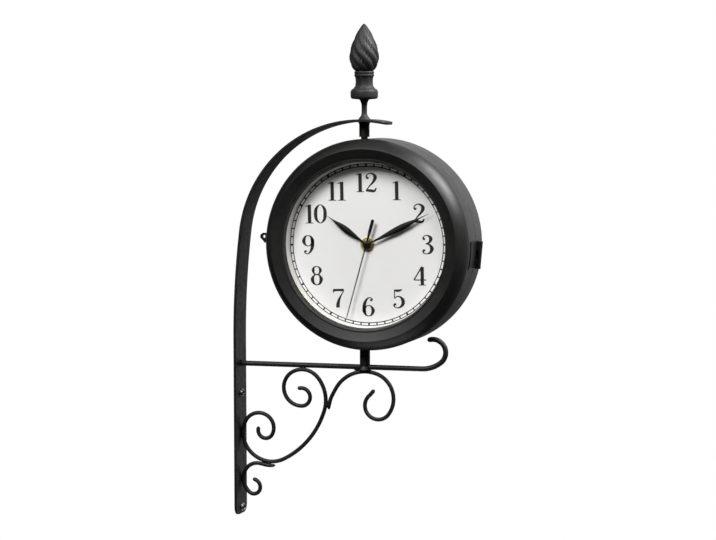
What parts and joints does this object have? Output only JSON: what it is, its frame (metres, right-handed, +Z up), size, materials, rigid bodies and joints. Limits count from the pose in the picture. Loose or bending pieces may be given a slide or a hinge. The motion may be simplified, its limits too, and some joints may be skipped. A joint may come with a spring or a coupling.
{
  "type": "double sided station clock",
  "caption": "Round twin-dial clock on a scrolled wall bracket with strap, rod, posts and bud finial; case swivels and its rear half opens.",
  "frame": {"origin": "on the wall plane, midway between the two wall holes", "axes": "+X out from the wall, +Z up, -Y towards the front dial"},
  "size_m": [0.2386, 0.0778, 0.4699],
  "materials": {
    "bracket_black": "satin",
    "case_black": "satin",
    "clear_glass": "polished",
    "dial_white": "matte",
    "movement_black": "matte",
    "brass": "polished",
    "bright_steel": "bright",
    "cell_jacket": "gloss",
    "wheel_plastic": "matte",
    "copper": "varnished winding",
    "board_green": "matte",
    "hand_black": "matte"
  },
  "bodies": {
    "bracket": {"wall_strap": "bracket_black", "wall_eyelets": "bright_steel", "support_rod": "bracket_black", "large_scroll": "bracket_black", "post_scroll": "bracket_black", "lower_scroll": "bracket_black", "upper_post": "bracket_black", "lower_post": "bracket_black", "finial": "bracket_black", "pivot_nuts": "bright_steel"},
    "case": {"front_shell": "case_black", "front_lens": "clear_glass", "front_spacer_ring": "dial_white", "front_dial": "dial_white", "front_catch_lug": "case_black", "front_movement_tray": "movement_black", "front_movement_cover": "movement_black", "front_dial_washer": "brass", "front_dial_nut": "brass", "front_battery": "cell_jacket", "front_contacts": "bright_steel", "front_motor_coil": "copper", "front_circuit_board": "board_green", "front_hinge_leaf": "case_black", "hinge_pin": "case_black"},
    "rear_door": {"rear_shell": "case_black", "rear_lens": "clear_glass", "rear_spacer_ring": "dial_white", "rear_dial": "dial_white", "rear_catch_lug": "case_black", "rear_movement_tray": "movement_black", "rear_movement_cover": "movement_black", "rear_dial_washer": "brass", "rear_dial_nut": "brass", "rear_battery": "cell_jacket", "rear_contacts": "bright_steel", "rear_motor_coil": "copper", "rear_circuit_board": "board_green", "rear_hinge_leaf": "case_black"},
    "front_second_hand_set": {"front_second_hand": "hand_black", "front_seconds_wheel": "wheel_plastic"},
    "front_minute_hand_set": {"front_minute_hand": "hand_black", "front_centre_wheel": "wheel_plastic"},
    "front_hour_hand_set": {"front_hour_hand": "hand_black", "front_hour_wheel": "wheel_plastic"},
    "front_third_wheel": {"front_third_wheel": "wheel_plastic"},
    "front_setting_knob": {"front_setting_wheel": "wheel_plastic"},
    "front_intermediate_wheel": {"front_intermediate_wheel": "wheel_plastic"},
    "front_rotor": {"front_rotor": "wheel_plastic"},
    "rear_second_hand_set": {"rear_second_hand": "hand_black", "rear_seconds_wheel": "wheel_plastic"},
    "rear_minute_hand_set": {"rear_minute_hand": "hand_black", "rear_centre_wheel": "wheel_plastic"},
    "rear_hour_hand_set": {"rear_hour_hand": "hand_black", "rear_hour_wheel": "wheel_plastic"},
    "rear_third_wheel": {"rear_third_wheel": "wheel_plastic"},
    "rear_setting_knob": {"rear_setting_wheel": "wheel_plastic"},
    "rear_intermediate_wheel": {"rear_intermediate_wheel": "wheel_plastic"},
    "rear_rotor": {"rear_rotor": "wheel_plastic"}
  },
  "joints": [
    {"name": "case_swivel", "type": "hinge", "parent": "bracket", "child": "case", "pos_m": [0.127, 0, 0.201], "axis": [0, 0, 1], "range_deg": [-20, 30]},
    {"name": "door_hinge", "type": "hinge", "parent": "case", "child": "rear_door", "pos_m": [0.23537, 0.013, 0.19161], "axis": [-0.0906, 0, -0.9959], "range_deg": [0, 135]},
    {"name": "front_second_hand_turn", "type": "hinge", "parent": "case", "child": "front_second_hand_set", "pos_m": [0.1322, 0.013, 0.201], "axis": [0, 1, 0], "continuous": true},
    {"name": "front_minute_hand_turn", "type": "hinge", "parent": "case", "child": "front_minute_hand_set", "pos_m": [0.1322, 0.013, 0.201], "axis": [0, 1, 0], "continuous": true},
    {"name": "front_hour_hand_turn", "type": "hinge", "parent": "case", "child": "front_hour_hand_set", "pos_m": [0.1322, 0.013, 0.201], "axis": [0, 1, 0], "continuous": true},
    {"name": "front_third_wheel_turn", "type": "hinge", "parent": "case", "child": "front_third_wheel", "pos_m": [0.12285, 0.013, 0.2064], "axis": [0, 1, 0], "continuous": true},
    {"name": "front_setting_knob_turn", "type": "hinge", "parent": "case", "child": "front_setting_knob", "pos_m": [0.1376, 0.013, 0.21035], "axis": [0, 1, 0], "continuous": true},
    {"name": "front_intermediate_wheel_turn", "type": "hinge", "parent": "case", "child": "front_intermediate_wheel", "pos_m": [0.1427, 0.013, 0.201], "axis": [0, 1, 0], "continuous": true},
    {"name": "front_rotor_turn", "type": "hinge", "parent": "case", "child": "front_rotor", "pos_m": [0.1472, 0.013, 0.20879], "axis": [0, 1, 0], "continuous": true},
    {"name": "rear_second_hand_turn", "type": "hinge", "parent": "rear_door", "child": "rear_second_hand_set", "pos_m": [0.1322, 0.013, 0.201], "axis": [0, -1, 0], "continuous": true},
    {"name": "rear_minute_hand_turn", "type": "hinge", "parent": "rear_door", "child": "rear_minute_hand_set", "pos_m": [0.1322, 0.013, 0.201], "axis": [0, -1, 0], "continuous": true},
    {"name": "rear_hour_hand_turn", "type": "hinge", "parent": "rear_door", "child": "rear_hour_hand_set", "pos_m": [0.1322, 0.013, 0.201], "axis": [0, -1, 0], "continuous": true},
    {"name": "rear_third_wheel_turn", "type": "hinge", "parent": "rear_door", "child": "rear_third_wheel", "pos_m": [0.14155, 0.013, 0.2064], "axis": [0, -1, 0], "continuous": true},
    {"name": "rear_setting_knob_turn", "type": "hinge", "parent": "rear_door", "child": "rear_setting_knob", "pos_m": [0.1268, 0.013, 0.21035], "axis": [0, -1, 0], "continuous": true},
    {"name": "rear_intermediate_wheel_turn", "type": "hinge", "parent": "rear_door", "child": "rear_intermediate_wheel", "pos_m": [0.1217, 0.013, 0.201], "axis": [0, -1, 0], "continuous": true},
    {"name": "rear_rotor_turn", "type": "hinge", "parent": "rear_door", "child": "rear_rotor", "pos_m": [0.1172, 0.013, 0.20879], "axis": [0, -1, 0], "continuous": true}
  ],
  "couplings": [
    {"joint": "front_minute_hand_turn", "follows": "front_second_hand_turn", "ratio": 0.016667},
    {"joint": "front_hour_hand_turn", "follows": "front_second_hand_turn", "ratio": 0.0013889},
    {"joint": "front_third_wheel_turn", "follows": "front_second_hand_turn", "ratio": -0.125},
    {"joint": "front_setting_knob_turn", "follows": "front_second_hand_turn", "ratio": -0.0055556},
    {"joint": "front_intermediate_wheel_turn", "follows": "front_second_hand_turn", "ratio": -6},
    {"joint": "front_rotor_turn", "follows": "front_second_hand_turn", "ratio": 30},
    {"joint": "rear_minute_hand_turn", "follows": "rear_second_hand_turn", "ratio": 0.016667},
    {"joint": "rear_hour_hand_turn", "follows": "rear_second_hand_turn", "ratio": 0.0013889},
    {"joint": "rear_third_wheel_turn", "follows": "rear_second_hand_turn", "ratio": -0.125},
    {"joint": "rear_setting_knob_turn", "follows": "rear_second_hand_turn", "ratio": -0.0055556},
    {"joint": "rear_intermediate_wheel_turn", "follows": "rear_second_hand_turn", "ratio": -6},
    {"joint": "rear_rotor_turn", "follows": "rear_second_hand_turn", "ratio": 30}
  ]
}
